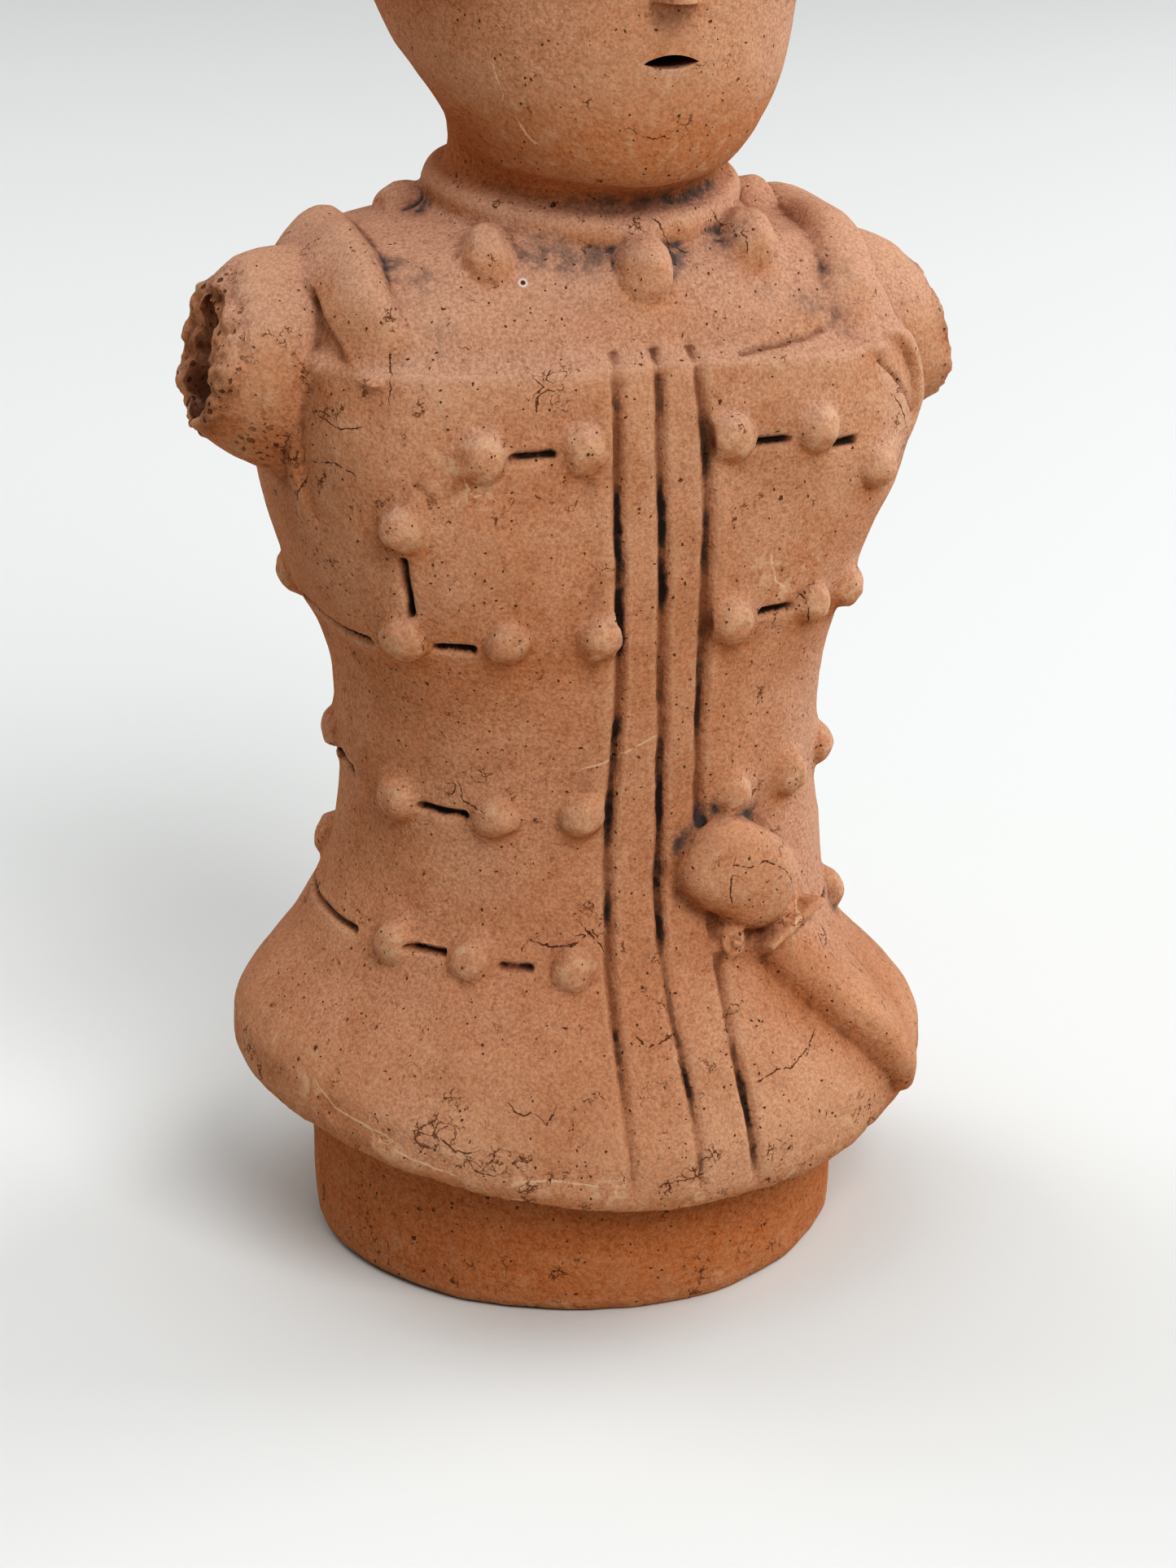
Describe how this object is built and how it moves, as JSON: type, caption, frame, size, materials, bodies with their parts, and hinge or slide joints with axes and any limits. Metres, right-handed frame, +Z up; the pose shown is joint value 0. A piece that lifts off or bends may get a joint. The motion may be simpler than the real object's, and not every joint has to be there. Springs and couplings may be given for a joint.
{
  "type": "haniwa figure",
  "caption": "Hollow terracotta warrior bust with a studded cuirass, necklace, sword and plain helmet, both arms broken off, standing on a short round foot.",
  "frame": {"origin": "on the ground, under the middle of the figure's outline", "axes": "+Z up, the face looks along -Y, and +X is the figure's left"},
  "size_m": [0.1349, 0.1102, 0.282],
  "materials": {
    "fired_clay": "unglazed fired clay, matt and finely grained"
  },
  "bodies": {
    "root": {"haniwa_figure": "fired_clay"}
  },
  "joints": []
}
